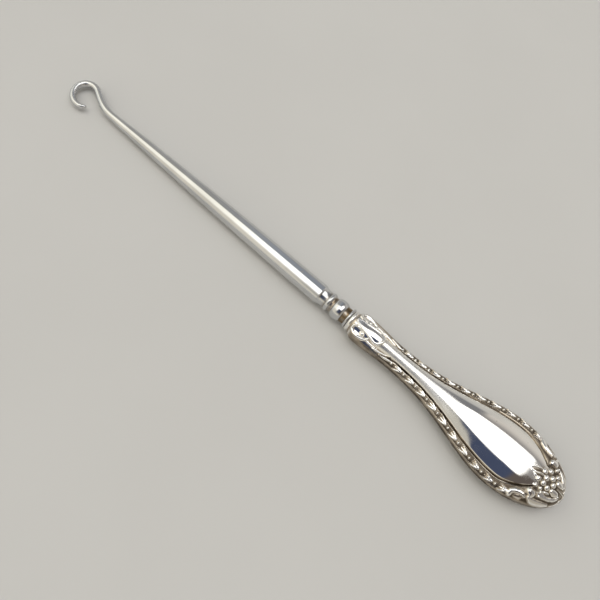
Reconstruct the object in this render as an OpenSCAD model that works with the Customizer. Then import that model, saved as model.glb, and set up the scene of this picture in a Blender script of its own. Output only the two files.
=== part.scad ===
// Button hook: a polished steel hook, shank and bolster in one piece, held in a filled
// handle of two stamped silver halves. It lies on its side along X, hook toward -X,
// resting on the shank and on the belly of the handle.

/* [Hook] */
// Radius of the loop, to the middle of the wire
loop_r = 4.5; // [3.5:0.1:6]
// How far the loop leans toward the shank on the tip's side, as a slope
loop_lean = 0.16; // [0:0.01:0.3]
// How far the middle of the loop lies off the shank's axis, on the tip's side
loop_drop = 0.4; // [0:0.1:1.5]
// Thickness of the wire in the loop
wire_d = 2.35; // [1.6:0.05:2.7]
// Thickness of the wire at its rounded tip
tip_d = 1.2; // [0.8:0.1:1.6]
// Where the tip ends, in degrees from the shank's direction
tip_angle = 50; // [30:1:70]
// Where the loop runs out into the double bend, in degrees from the shank's direction
bend_angle = 62; // [50:1:75]
// Length of the double bend along the shank
bend_len = 11; // [8:0.5:16]

/* [Shank] */
// Length of the tapered shank, from the double bend to the bolster
shank_len = 92.7; // [60:0.1:130]
// Diameter of the shank where it leaves the double bend
shank_tip_d = 2.8; // [2.4:0.1:4]
// Diameter of the shank at the bolster
shank_base_d = 6.6; // [5:0.1:8]
// Fullness of the taper, where 1 is a straight cone
shank_swell = 1.85; // [1:0.05:2.5]

/* [Bolster] */
// Diameter at the bottom of the hollows
cove_d = 5.4; // [4.4:0.1:6]
// Length of the hollow behind the shank
cove_len = 2.9; // [1:0.1:4]
// Diameter of the thin disc
disc_d = 6.3; // [6.2:0.1:8]
// Width of the thin disc
disc_w = 1.4; // [1:0.1:3]
// Length of the hollow between the disc and the bead
waist_len = 1.2; // [0.6:0.1:3]
// Diameter of the bead
bead_d = 6.8; // [6.2:0.1:9]
// Length of the bead
bead_len = 3.7; // [2:0.1:6]
// Width of the groove between the bead and the flange
groove_w = 1.5; // [0.4:0.1:2]
// Diameter of the flange that closes the handle's mouth
flange_d = 6.9; // [6.6:0.1:8]
// Width of the flange
flange_w = 1.1; // [0.8:0.1:3]
// Length of the tang inside the handle
tang_len = 46; // [25:1:55]
// Diameter of the tang at the flange
tang_d = 3.2; // [2:0.1:3.8]
// Diameter of the tang at its end
tang_end_d = 1.8; // [1:0.1:2]

/* [Handle outline] */
// Length of the handle
handle_len = 78; // [66:0.1:95]
// Diameter of the mouth behind its rim
mouth_d = 6.5; // [5.8:0.1:7.4]
// Diameter over the mouth's rolled rim
rim_d = 7.1; // [6.4:0.1:8]
// Width of the rolled rim
rim_w = 1.3; // [0.8:0.1:2]
// Width over the two scrolls at the shoulder
shoulder_w = 9.8; // [8.6:0.1:12]
// Distance of the shoulder from the mouth
shoulder_at = 5; // [4:0.1:8]
// Width at the narrow neck
neck_w = 8.3; // [7:0.1:9]
// Distance of the neck from the mouth
neck_at = 16.5; // [13:0.5:24]
// Width at the head
head_w = 22.7; // [16:0.1:28]
// Distance of the widest place from the mouth
head_at = 58.4; // [48:0.1:62]
// How late the neck swells into the head, where 1 is even
head_swell = 1.3; // [1:0.01:1.6]
// Fullness of the rounded end, where 2 is an ellipse
end_fullness = 1.9; // [1.6:0.05:2.4]

/* [Handle section] */
// Thickness at the shoulder
shoulder_t = 6.8; // [6.6:0.1:9]
// Thickness at the neck
neck_t = 6.2; // [5.6:0.1:8]
// Thickness at the head
head_t = 9.2; // [7.6:0.1:12]
// Thickness of the stamped silver
wall = 0.6; // [0.4:0.05:0.8]

/* [Stamped ornament] */
// Width of the ornamented border beside the plain panel, at the head
border_w = 2.95; // [2.2:0.05:3.4]
// Width of the ornamented border at the neck
neck_border_w = 2.1; // [1.6:0.1:2.4]
// Height of the crease between panel and border over the seam
crease_h = 1.7; // [1.3:0.1:2.2]
// Depth of the crease between panel and border
crease_depth = 0.25; // [0:0.05:0.3]
// Distance from one husk of the border to the next
husk_pitch = 4.75; // [3.6:0.05:7]
// Length of a husk
husk_len = 3.2; // [2:0.1:3.4]
// Height of the husks and beads
husk_height = 0.4; // [0.1:0.05:0.6]
// Distance of the first husk from the mouth
husks_from = 13.8; // [11:0.1:18]
// Distance from the last husk to the end of the handle
husks_end = 13.4; // [10:0.1:16]
// Length of the scrolls beside the tongue
scroll_len = 6.6; // [5:0.1:8]
// Height of the scrolls beside the tongue
scroll_height = 0.4; // [0.1:0.05:0.5]
// Distance of the tongue's round end from the mouth
tongue_end = 12.6; // [9:0.1:14]
// Height of the tongue
tongue_height = 0.25; // [0.1:0.05:0.4]
// Scrolls along each side of the end ornament
end_scrolls = 3; // [2:1:4]
// Height of the end ornament
end_height = 0.5; // [0.1:0.05:0.6]

/* [Fits] */
// Solder film between the two halves
solder_film = 0.04; // [0.02:0.01:0.1]
// Gap between the flange and the mouth
mouth_gap = 0.05; // [0.02:0.01:0.2]
// Gap between the filling and the silver
filling_gap = 0.1; // [0.05:0.01:0.2]
// Gap round the tang in the filling
tang_gap = 0.1; // [0.05:0.01:0.2]

/* [Hidden] */
$fn = 64;

// Places along the axis, from the outside of the loop
loop_x = wire_d / 2 + loop_r * sqrt(1 + loop_lean * loop_lean);
bend_x = loop_point(bend_angle)[0];
shank_x = bend_x + bend_len;
cove_x = shank_x + shank_len;
disc_x = cove_x + cove_len;
waist_x = disc_x + disc_w;
bead_x = waist_x + waist_len;
bolster_groove_x = bead_x + bead_len;
flange_x = bolster_groove_x + groove_w;
mouth_x = flange_x + flange_w + mouth_gap;
tool_len = mouth_x + handle_len;

// Degrees of the loop over which the wire thins toward the tip
tip_taper = 150;
// Reach of the bend's tangents, as a share of its length
bend_pull = 0.4;
// Facets round the wire, and steps along its tip, loop and bend
wire_sides = 20;
tip_steps = 4;
loop_steps = 32;
bend_steps = 12;
// The wire's square end sits this deep in the shank, this much under its face
seat_len = 1;
seat_step = 0.02;
// Steps along the shank's taper, and degrees between points of a turned curve
taper_steps = 20;
turn_step = 15;

// Stations along the handle: rim, body and rounded end; the lining uses every second one
rim_steps = 6;
samples_per_husk = 5;
body_steps = 2 * round(samples_per_husk * (head_at - rim_w) / husk_pitch / 2);
end_steps = 22;
steps = rim_steps + body_steps + end_steps;
lining_steps = steps / 2;
// Rows across one side: from the seam over the border to the crease, then over the panel
border_rows = 6;
panel_rows = 4;
crest_row = border_rows + panel_rows;
rows = 2 * crest_row;
rows_per_lining = 2;
lining_rows = rows / rows_per_lining;
// Row of the husks' ridge, and the rows that the ridge spreads over
husk_row = 3.7;
husk_spread = 1.9;
// Middle row of the scrolls at the shoulder, and their spread
scroll_row = 4.5;
scroll_spread = 2.6;
// Least share of the width that the panel keeps, and greatest share of the height below the crease
panel_least = 0.4;
crease_most = 0.55;
// Roundness of the panel's section, where 1 is an ellipse and 2 a parabola
panel_round = 1.7;
// How quickly the mouth swells into the shoulder
shoulder_swell = 2.5;
// Power of the thickness over the rounded end
end_edge = 0.7;
// Length over which a tongue, crease or ornament runs out
run_out = 1.2;

// Husks that fit along the border, a bead after each but the last, and the end ornament's stretch
bead_room = husk_pitch - husk_len;
husk_count = max(1, floor((handle_len - husks_end - husks_from + bead_room) / husk_pitch));
ornament_from = husks_from + husk_count * husk_pitch - bead_room;
ornament_to = handle_len - run_out;

function ease(t) = (1 - cos(180 * t)) / 2;
function ramp(t) = ease(min(1, max(0, t)));
function mix(a, b, t) = a + (b - a) * t;
function unit(v) = v / norm(v);

// The wire's middle line lies flat; each ring is [x, y, direction, radius]
function loop_point(p) = [loop_x + loop_r * (cos(p) - loop_lean * sin(p)),
    loop_r * sin(p) - loop_drop];
function loop_heading(p) = unit([sin(p) + loop_lean * cos(p), -cos(p)]);
function loop_radius(t) = mix(tip_d, wire_d,
    sqrt(min(1, t * (360 - bend_angle - tip_angle) / tip_taper))) / 2;
function loop_ring(t) = let (p = -mix(tip_angle, 360 - bend_angle, t))
    concat(loop_point(p), [loop_heading(p), loop_radius(t)]);

function tip_ring(t) = let (p = -tip_angle, r = tip_d / 2, q = loop_point(p) - loop_heading(p) * r * cos(90 * t))
    concat(q, [loop_heading(p), r * sin(90 * t)]);

function bezier(a, b, c, d, t) = a * pow(1 - t, 3) + 3 * b * t * pow(1 - t, 2) + 3 * c * t * t * (1 - t)
    + d * pow(t, 3);
function bezier_heading(a, b, c, d, t) = unit((b - a) * pow(1 - t, 2) + 2 * (c - b) * t * (1 - t)
    + (d - c) * t * t);
bend_from = loop_point(bend_angle);
bend_to = [shank_x, 0];
bend_lead = bend_from + loop_heading(bend_angle) * bend_len * bend_pull;
bend_trail = bend_to - [bend_len * bend_pull, 0];
seat_r = shank_tip_d / 2 - seat_step;
function bend_ring(t) = concat(bezier(bend_from, bend_lead, bend_trail, bend_to, t),
    [bezier_heading(bend_from, bend_lead, bend_trail, bend_to, t), mix(wire_d / 2, seat_r, ease(t))]);

wire_rings = concat(
    [for (i = [1:tip_steps]) tip_ring(i / (tip_steps + 1))],
    [for (i = [0:loop_steps]) loop_ring(i / loop_steps)],
    [for (i = [1:bend_steps]) bend_ring(i / bend_steps)],
    [[shank_x + seat_len, 0, [1, 0], seat_r]]);

function ring_points(ring) = [for (k = [0:wire_sides - 1]) let (a = 360 * k / wire_sides)
    [ring[0] - ring[2][1] * ring[3] * cos(a), ring[1] + ring[2][0] * ring[3] * cos(a), ring[3] * sin(a)]];

module hook_wire() {
    last = len(wire_rings) - 1;
    n = wire_sides;
    polyhedron(
        points = [for (ring = wire_rings) each ring_points(ring)],
        faces = concat(
            [[for (k = [0:n - 1]) k], [for (k = [n - 1:-1:0]) last * n + k]],
            [for (i = [0:last - 1], k = [0:n - 1]) [i * n + k, (i + 1) * n + k, i * n + (k + 1) % n]],
            [for (i = [0:last - 1], k = [0:n - 1])
                [i * n + (k + 1) % n, (i + 1) * n + k, (i + 1) * n + (k + 1) % n]]));
}

// Turned profiles as [radius, place]: a swelling or hollow, and a hollow that falls from a shoulder
function turned_curve(at, w, r, crown_r) = [for (a = [0:turn_step:180])
    [r + (crown_r - r) * sin(a), at + w / 2 * (1 - cos(a))]];
function turned_fall(at, w, from_r, to_r) = [for (a = [0:turn_step:90])
    [to_r + (from_r - to_r) * (1 - sin(a)), at + w * (1 - cos(a))]];
shank_taper = [for (i = [0:taper_steps]) let (t = i / taper_steps)
    [mix(shank_tip_d, shank_base_d, 1 - pow(1 - t, shank_swell)) / 2, shank_x + shank_len * t]];
// Depth of the hollow between disc and bead, below the other hollows
waist_sink = 0.15;

turned_profile = concat(
    shank_taper,
    turned_fall(cove_x, cove_len, shank_base_d / 2, cove_d / 2),
    turned_curve(disc_x, disc_w, cove_d / 2, disc_d / 2),
    turned_curve(waist_x, waist_len, cove_d / 2, cove_d / 2 - waist_sink),
    turned_curve(bead_x, bead_len, cove_d / 2, bead_d / 2),
    turned_curve(flange_x, flange_w, cove_d / 2, flange_d / 2));

module turned_steel() {
    tang_x = flange_x + flange_w;
    rotate([0, 90, 0]) rotate_extrude() polygon(concat(
        [[0, shank_x]],
        turned_profile,
        [[tang_d / 2, tang_x], [tang_end_d / 2, tang_x + tang_len], [0, tang_x + tang_len]]));
}

// Lying at rest, the tool tips until the shank and the belly of the handle both touch the table
belly = [for (i = [0:steps - 1], j = [0:crest_row]) let (p = outside_point(i, j))
    [p[2] + solder_film / 2, mouth_x + p[0]]];
rest_tilt = max([for (b = belly) min([for (s = turned_profile) atan((b[0] - s[0]) / (b[1] - s[1]))])]);
rest_height = max([for (s = turned_profile) s[0] * cos(rest_tilt) - s[1] * sin(rest_tilt)]);
rest_middle = tool_len * cos(rest_tilt) / 2;

module at_rest() {
    translate([-rest_middle, 0, rest_height]) rotate([0, -rest_tilt, 0]) children();
}

module hook_shank() {
    color("lightsteelblue") at_rest() union() {
        hook_wire();
        turned_steel();
    }
}

// Half width or half thickness along the body, from the sizes at the shoulder, neck and head
function body_size(x, shoulder, neck, head) =
    x <= rim_w ? mouth_d / 2
    : x < shoulder_at ? mix(shoulder, mouth_d, pow((shoulder_at - x) / (shoulder_at - rim_w), shoulder_swell)) / 2
    : x < neck_at ? mix(shoulder, neck, ease((x - shoulder_at) / (neck_at - shoulder_at))) / 2
    : mix(neck, head, ease(pow((x - neck_at) / (head_at - neck_at), head_swell))) / 2;
function body_place(i) = i <= rim_steps ? rim_w * ease(i / rim_steps)
    : mix(rim_w, head_at, (i - rim_steps) / body_steps);

// A station of the handle, drawn in by inset: [place, half width, half thickness]
function body_station(x, inset) =
    [x, body_size(x, shoulder_w, neck_w, head_w) - inset, body_size(x, shoulder_t, neck_t, head_t) - inset];
function end_station(a, inset) =
    [mix(head_at, handle_len - inset, pow(sin(a), 2 / end_fullness)),
        (head_w / 2 - inset) * pow(cos(a), 2 / end_fullness),
        (head_t / 2 - inset) * pow(cos(a), end_edge)];
function station(i, inset) = i <= rim_steps + body_steps ? body_station(body_place(i), inset)
    : end_station(90 * (i - rim_steps - body_steps) / end_steps, inset);

// Half width and height of the crease at a station of the outside
function panel_half(s) = max(s[1] * panel_least,
    s[1] - mix(neck_border_w, border_w, (2 * s[1] - neck_w) / (head_w - neck_w)));
function crease_height(s) = min(crease_h, s[2] * crease_most);

// Angle of a row on the oval of the mouth, 0 at the seam and 90 at the crest
function crease_angle(s) = acos(panel_half(s) / s[1]);
function row_angle(s, q) = q <= border_rows ? crease_angle(s) * q / border_rows
    : mix(crease_angle(s), 90, (q - border_rows) / panel_rows);

// A row's [y, z] in the section, drawn in by inset: an oval at the mouth that turns into a
// border rounded up from the seam and a cushioned panel that rises from the crease
function oval_row(i, q, inset) = let (s = station(i, inset), a = row_angle(station(i, 0), q))
    [s[1] * cos(a), s[2] * sin(a)];
function border_row(s, crease, q) = let (a = 90 * q / border_rows)
    [mix(crease[0], s[1], cos(a)), crease[1] * sin(a)];
function panel_row(s, crease, q) = let (a = 90 * (q - border_rows) / panel_rows)
    [crease[0] * cos(a), mix(crease[1], s[2], pow(sin(a), panel_round))];
function shaped_row(i, q, inset) = let (plain = station(i, 0), s = station(i, inset),
        crease = [panel_half(plain), crease_height(plain) - plain[2] + s[2]])
    q <= border_rows ? border_row(s, crease, q) : panel_row(s, crease, q);
function section_row(i, q, inset) = mix(oval_row(i, q, inset), shaped_row(i, q, inset),
    ramp((station(i, 0)[0] - rim_w) / (tongue_end - rim_w)));

// Stamped relief over the plain form, at a station and a row from the seam
function across(q, row, spread) = max(0, 1 - pow((q - row) / spread, 2));
function between(x, from, to) = x > from && x < to ? sin(180 * (x - from) / (to - from)) : 0;
function husk_phase(x) = (x - husks_from) - husk_pitch * floor((x - husks_from) / husk_pitch);
function husk_wave(x) = x < husks_from || x > ornament_from ? 0
    : let (p = husk_phase(x)) p < husk_len ? sqrt(between(p, 0, husk_len))
    : between(p, husk_len, husk_pitch);
function rim_relief(x) = (rim_d - mouth_d) / 2 * between(x, 0, rim_w);
function husk_relief(x, q) = husk_height * husk_wave(x) * across(q, husk_row, husk_spread);
function crease_relief(x, q) = q != border_rows ? 0
    : -crease_depth * ramp((x - tongue_end) / run_out) * ramp((ornament_to - x) / husk_pitch);
function scroll_relief(x, q) = let (t = between(x, rim_w, rim_w + scroll_len))
    scroll_height * t * across(q, scroll_row, scroll_spread) * (1 - t * across(q, scroll_row, 1));
function tongue_relief(x, q) = q <= border_rows ? 0
    : tongue_height * ramp((x - rim_w) / run_out) * ramp((tongue_end - x) / run_out);
function end_relief(x, q) = x < ornament_from || x > ornament_to ? 0
    : let (t = (x - ornament_from) / (ornament_to - ornament_from))
    end_height * (abs(sin(180 * end_scrolls * t)) * across(q, husk_row, husk_spread)
        + ramp(2 * t) * ramp(2 - 2 * t) * across(q, crest_row, panel_rows));
function relief(i, q) = let (x = station(i, 0)[0])
    rim_relief(x) + husk_relief(x, q) + crease_relief(x, q) + scroll_relief(x, q) + tongue_relief(x, q)
    + end_relief(x, q);

// A point of the silver's outside, with its relief, and a point of its lining
function side_of(j) = j < crest_row ? -1 : 1;
function row_of(j) = j < crest_row ? j : rows - j;
function outside_point(i, j) = let (s = station(i, 0), q = row_of(j), a = row_angle(s, q),
        p = section_row(i, q, 0) + unit([s[2] * cos(a), s[1] * sin(a)]) * relief(i, q))
    [s[0], side_of(j) * p[0], p[1]];
function lining_point(k, l, inset) = let (j = l * rows_per_lining, p = section_row(2 * k, row_of(j), inset))
    [station(2 * k, inset)[0], side_of(j) * p[0], p[1]];

// One stamped half: outside and lining as grids that meet in the seam's and the mouth's flat edges
module stamped_half() {
    outer_end = steps * (rows + 1);
    first = outer_end + 1;
    inner_end = first + lining_steps * (lining_rows + 1);
    function o(i, j) = i >= steps ? outer_end : i * (rows + 1) + j;
    function n(k, l) = k >= lining_steps ? inner_end : first + k * (lining_rows + 1) + l;
    polyhedron(
        points = concat(
            [for (i = [0:steps - 1], j = [0:rows]) outside_point(i, j)],
            [[handle_len, 0, 0]],
            [for (k = [0:lining_steps - 1], l = [0:lining_rows]) lining_point(k, l, wall)],
            [[handle_len - wall, 0, 0]]),
        faces = concat(
            [for (i = [0:steps - 1], j = [0:rows - 1]) [o(i, j), o(i, j + 1), o(i + 1, j)]],
            [for (i = [0:steps - 2], j = [0:rows - 1]) [o(i, j + 1), o(i + 1, j + 1), o(i + 1, j)]],
            [for (k = [0:lining_steps - 1], l = [0:lining_rows - 1]) [n(k, l), n(k + 1, l), n(k, l + 1)]],
            [for (k = [0:lining_steps - 2], l = [0:lining_rows - 1])
                [n(k, l + 1), n(k + 1, l), n(k + 1, l + 1)]],
            [for (k = [0:lining_steps - 1]) each [
                [o(2 * k, 0), o(2 * k + 1, 0), n(k, 0)],
                [o(2 * k + 1, 0), n(k + 1, 0), n(k, 0)],
                [o(2 * k + 1, 0), o(2 * k + 2, 0), n(k + 1, 0)],
                [o(2 * k, rows), n(k, lining_rows), o(2 * k + 1, rows)],
                [o(2 * k + 1, rows), n(k, lining_rows), n(k + 1, lining_rows)],
                [o(2 * k + 1, rows), n(k + 1, lining_rows), o(2 * k + 2, rows)]]],
            [for (l = [0:lining_rows - 1]) let (j = l * rows_per_lining) each [
                [o(0, j), n(0, l), o(0, j + 1)],
                [o(0, j + 1), n(0, l), n(0, l + 1)],
                [o(0, j + 1), n(0, l + 1), o(0, j + 2)]]]));
}

module handle_front_half() {
    color("silver") at_rest() translate([mouth_x, 0, solder_film / 2]) stamped_half();
}

module handle_back_half() {
    color("silver") at_rest() mirror([0, 0, 1]) translate([mouth_x, 0, solder_film / 2]) stamped_half();
}

// The filling follows the lining of both halves and is bored for the tang
module filling_body() {
    around = 2 * lining_rows;
    inset = wall + filling_gap;
    end = lining_steps * around;
    function f(k, l) = k >= lining_steps ? end : k * around + l % around;
    function filling_point(k, l) = l <= lining_rows ? lining_point(k, l, inset)
        : let (p = lining_point(k, around - l, inset)) [p[0], p[1], -p[2]];
    function set_back(p) = [max(p[0], filling_gap), p[1], p[2]];
    polyhedron(
        points = concat(
            [for (k = [0:lining_steps - 1], l = [0:around - 1]) set_back(filling_point(k, l))],
            [[handle_len - inset, 0, 0]]),
        faces = concat(
            [[for (l = [around - 1:-1:0]) l]],
            [for (k = [0:lining_steps - 2], l = [0:lining_rows - 1]) each [
                [f(k, l), f(k, l + 1), f(k + 1, l)],
                [f(k, l + 1), f(k + 1, l + 1), f(k + 1, l)]]],
            [for (k = [0:lining_steps - 2], l = [lining_rows:around - 1]) each [
                [f(k, l), f(k, l + 1), f(k + 1, l + 1)],
                [f(k, l), f(k + 1, l + 1), f(k + 1, l)]]],
            [for (l = [0:around - 1]) [f(lining_steps - 1, l), f(lining_steps - 1, l + 1), end]]));
}

module handle_filling() {
    tang_taper = (tang_d - tang_end_d) / 2 / tang_len;
    color("saddlebrown") at_rest() difference() {
        translate([mouth_x, 0, 0]) filling_body();
        translate([flange_x + flange_w, 0, 0]) rotate([0, 90, 0])
            cylinder(h = tang_len + tang_gap, r1 = tang_d / 2 + tang_gap,
                r2 = tang_end_d / 2 + tang_gap - tang_taper * tang_gap);
    }
}

hook_shank();
handle_front_half();
handle_back_half();
handle_filling();
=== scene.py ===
import math

import bpy
import numpy as np
from mathutils import Matrix, Vector


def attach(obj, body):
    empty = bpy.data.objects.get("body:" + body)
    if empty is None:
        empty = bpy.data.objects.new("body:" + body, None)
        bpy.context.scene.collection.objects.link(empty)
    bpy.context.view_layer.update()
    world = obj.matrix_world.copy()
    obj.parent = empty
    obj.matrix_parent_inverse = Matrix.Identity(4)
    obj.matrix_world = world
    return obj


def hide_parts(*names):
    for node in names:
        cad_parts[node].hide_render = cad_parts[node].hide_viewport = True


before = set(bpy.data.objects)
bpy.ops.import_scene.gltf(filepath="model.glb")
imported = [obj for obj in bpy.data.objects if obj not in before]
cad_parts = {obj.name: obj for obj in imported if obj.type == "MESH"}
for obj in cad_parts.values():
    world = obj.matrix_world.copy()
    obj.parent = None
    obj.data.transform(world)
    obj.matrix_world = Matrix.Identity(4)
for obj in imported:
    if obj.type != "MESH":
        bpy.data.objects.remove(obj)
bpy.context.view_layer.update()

# Sizes are in millimetres, as in the part's source, until at_rest lays the points on the table
MM = 0.001
QUARTER = np.radians(90)


def ease(t):
    """Soft step from 0 to 1."""
    return (1 - np.cos(np.pi * np.clip(t, 0, 1))) / 2


def mix(a, b, t):
    """From a at 0 to b at 1."""
    return a + (b - a) * t


def unit(v):
    """Directions with a length of 1."""
    return v / np.linalg.norm(v, axis=-1, keepdims=True)


def add_mesh(name, points, faces, values=None, sharp=40):
    """A smooth mesh with values at its points; edges over the sharp angle in degrees stay sharp."""
    mesh = bpy.data.meshes.new(name)
    mesh.from_pydata(points.tolist(), [], faces)
    mesh.update()
    mesh.polygons.foreach_set("use_smooth", [True] * len(mesh.polygons))
    mesh.set_sharp_from_angle(angle=math.radians(sharp))
    for key, data in (values or {}).items():
        mesh.attributes.new(key, "FLOAT", "POINT").data.foreach_set("value", data)
    obj = bpy.data.objects.new(name, mesh)
    bpy.context.scene.collection.objects.link(obj)
    return obj


# The steel: loop, double bend, shank, bolster and tang, swept as one run of rings.
# The tool's x runs from the outside of the loop, and +y points away from the hook's tip.
LOOP_R, LOOP_LEAN, LOOP_DROP = 4.5, 0.16, 0.4
WIRE_R, TIP_R = 1.175, 0.6
TIP_ANGLE, BEND_ANGLE, TIP_TAPER = 50.0, 62.0, 150.0
BEND_LEN, BEND_PULL = 11.0, 0.4
SHANK_LEN, SHANK_R, SHANK_BASE_R, SHANK_SWELL = 92.7, 1.4, 3.3, 1.85
COVE_R, COVE_LEN, COVE_GAP = 2.7, 2.9, 0.05
# Width, middle radius and room after it of the disc, the waist, the bead and the flange
TURNED = ((1.4, 3.15, 0), (1.2, 2.55, 0), (3.7, 3.4, 1.5), (1.1, 3.45, 0))
TANG_LEN, TANG_R, TANG_END_R = 46, 1.6, 0.9
MOUTH_GAP, HANDLE_LEN = 0.05, 78.0
# Rings along each stretch, and points round a ring
TIP_RINGS, LOOP_RINGS, BEND_RINGS, SHANK_RINGS = 12, 150, 50, 120
COVE_RINGS, TURNED_RINGS, TANG_RINGS = 13, 25, 24
SIDES = 72
# How far the point that closes the tip stands before the first ring, and the angle of a sharp edge
TIP_CAP, STEEL_SHARP = 0.02, 32
# Places along the bolster and how much dirt each holds; rings wider than the limit stay clean
GRIME = ([110.9, 112.8, 113.8, 115.2, 115.8, 116.4, 118.5, 119.8, 120.3, 121.6, 122.2],
         [0.0, 0.1, 0.55, 0.5, 0.8, 0.5, 0.0, 0.45, 0.9, 0.9, 0.3])
GRIME_LIMIT_R, GRIME_SOFT = 3.1, 0.3
# How far from the loop's outside the hook is dulled, and over what length that ends
DULL_TO, DULL_OUT = 16, 8

LOOP_X = WIRE_R + LOOP_R * math.sqrt(1 + LOOP_LEAN ** 2)


def loop_place(angle):
    """Middle and direction of the wire at angles in degrees round the loop."""
    p = np.radians(angle)
    x = LOOP_X + LOOP_R * (np.cos(p) - LOOP_LEAN * np.sin(p))
    way = np.stack([np.sin(p) + LOOP_LEAN * np.cos(p), -np.cos(p)], -1)
    return np.stack([x, LOOP_R * np.sin(p) - LOOP_DROP], -1), unit(way)


SHANK_X = loop_place(BEND_ANGLE)[0][0] + BEND_LEN
BOLSTER_X = SHANK_X + SHANK_LEN
MOUTH_X = BOLSTER_X + COVE_LEN + sum(width + room for width, middle, room in TURNED) + MOUTH_GAP
# Tilt and height at which the shank and the handle's belly touch the table, as the source finds them
REST_TILT, REST_HEIGHT = math.radians(0.898032), 1.79742
REST_MIDDLE = (MOUTH_X + HANDLE_LEN) * math.cos(REST_TILT) / 2


def at_rest(points):
    """Tool coordinates in mm to the frame's metres, with the tool lying on the table."""
    x, y, z = points[:, 0], points[:, 1], points[:, 2]
    c, s = math.cos(REST_TILT), math.sin(REST_TILT)
    return np.stack([x * c - z * s - REST_MIDDLE, y, x * s + z * c + REST_HEIGHT], -1) * MM


def hook_rings():
    """Middle, direction and radius of the rings of the rounded tip, then of those of the loop."""
    t = np.linspace(0, 1, TIP_RINGS)[1:-1] * np.pi / 2
    at, way = loop_place(np.array([-TIP_ANGLE]))
    tip = (at - way * TIP_R * np.cos(t)[:, None], np.repeat(way, len(t), 0), TIP_R * np.sin(t))
    t = np.linspace(0, 1, LOOP_RINGS)
    sweep = 360 - BEND_ANGLE - TIP_ANGLE
    at, way = loop_place(-(TIP_ANGLE + sweep * t))
    return tip, (at, way, mix(TIP_R, WIRE_R, np.sqrt(np.minimum(1, t * sweep / TIP_TAPER))))


def bend_rings():
    """Middle, direction and radius of the rings on the curve from the loop to the shank."""
    t = np.linspace(0, 1, BEND_RINGS)[1:-1, None]
    pull = BEND_LEN * BEND_PULL
    a, lead = loop_place(BEND_ANGLE)
    b, c, d = a + lead * pull, np.array([SHANK_X - pull, 0]), np.array([SHANK_X, 0])
    at = a * (1 - t) ** 3 + 3 * b * t * (1 - t) ** 2 + 3 * c * t * t * (1 - t) + d * t ** 3
    way = (b - a) * (1 - t) ** 2 + 2 * (c - b) * t * (1 - t) + (d - c) * t * t
    return at, unit(way), mix(WIRE_R, SHANK_R, ease(t[:, 0]))


def turned_rings():
    """The same along the shank, the bolster's hollows, disc, bead and flange, and the tang."""
    t = np.linspace(0, 1, SHANK_RINGS)
    parts = [(SHANK_X + SHANK_LEN * t, mix(SHANK_R, SHANK_BASE_R, 1 - (1 - t) ** SHANK_SWELL))]
    a = np.radians(np.linspace(0, 90, COVE_RINGS))
    parts.append((BOLSTER_X + COVE_GAP + (COVE_LEN - COVE_GAP) * (1 - np.cos(a)),
                  COVE_R + (SHANK_BASE_R - COVE_R) * (1 - np.sin(a))))
    at = BOLSTER_X + COVE_LEN
    a = np.radians(np.linspace(0, 180, TURNED_RINGS))
    for width, middle, room in TURNED:
        parts.append((at + width / 2 * (1 - np.cos(a)), COVE_R + (middle - COVE_R) * np.sin(a)))
        at += width + room
    parts.append((np.linspace(at, at + TANG_LEN, TANG_RINGS), np.linspace(TANG_R, TANG_END_R, TANG_RINGS)))
    place, radius = (np.concatenate(part) for part in zip(*parts))
    return np.stack([place, np.zeros_like(place)], -1), np.repeat([[1.0, 0.0]], len(place), 0), radius


def steel_tool(name):
    """The whole steel, closed by a point at each end."""
    at, way, radius = (np.concatenate(part) for part in zip(*hook_rings(), bend_rings(), turned_rings()))
    turn = 2 * np.pi * np.arange(SIDES) / SIDES
    wide, high = np.cos(turn) * radius[:, None], np.sin(turn) * radius[:, None]
    rings = np.stack([at[:, :1] - way[:, 1:] * wide, at[:, 1:] + way[:, :1] * wide, high], -1)
    ends = np.array([[*(at[0] - way[0] * TIP_CAP), 0], [*at[-1], 0]])
    cloud = np.concatenate([rings.reshape(-1, 3), ends])
    count = len(at)
    last = (count - 1) * SIDES
    after = [(k + 1) % SIDES for k in range(SIDES)]
    faces = [(i * SIDES + k, i * SIDES + after[k], (i + 1) * SIDES + after[k], (i + 1) * SIDES + k)
             for i in range(count - 1) for k in range(SIDES)]
    faces += [(count * SIDES, after[k], k) for k in range(SIDES)]
    faces += [(count * SIDES + 1, last + k, last + after[k]) for k in range(SIDES)]
    # Dirt sits in the bolster's hollows, deepest beside the flange, and use has dulled the hook
    dirt = np.interp(at[:, 0], *GRIME) * np.clip((GRIME_LIMIT_R - radius) / GRIME_SOFT, 0, 1)
    dull = ease((DULL_TO - at[:, 0]) / DULL_OUT)
    values = {"tarnish_and_shade": np.concatenate([np.repeat(dirt, SIDES), [0, 0]]),
              "worn": np.concatenate([np.repeat(dull, SIDES), [1, 0]])}
    return add_mesh(name, at_rest(cloud), faces, values, STEEL_SHARP)


# The handle's plain form. From here to handle_half, x runs from the handle's mouth.
HEAD_AT, RIM_W = 58.4, 1.3
MOUTH_D, RIM_D = 6.5, 7.1
SHOULDER_AT, NECK_AT, TONGUE_END = 5.0, 16.5, 12.6
# Widths and thicknesses at the shoulder, the neck and the head
WIDTHS = (9.8, 8.3, 22.7)
THICKS = (6.8, 6.2, 9.2)
NECK_BORDER, HEAD_BORDER, CREASE_H = 2.1, 2.95, 1.7
WALL, FILM = 0.6, 0.04
# Exponents that round the form, and shares that limit its panel and crease
RIM_BOW, SWELL_BOW, CUSHION = 2.5, 1.3, 0.85
END_ROUND, END_THIN = 2 / 1.9, 0.7
PANEL_LEAST, CREASE_MOST = 0.4, 0.55
# Where the plain panel draws in to a point at the end, and how its edge is bowed
TAPER_FROM, TAPER_TO, TAPER_BOW, TAPER_POINT = 59.5, 71.0, 1.5, 0.65
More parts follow.
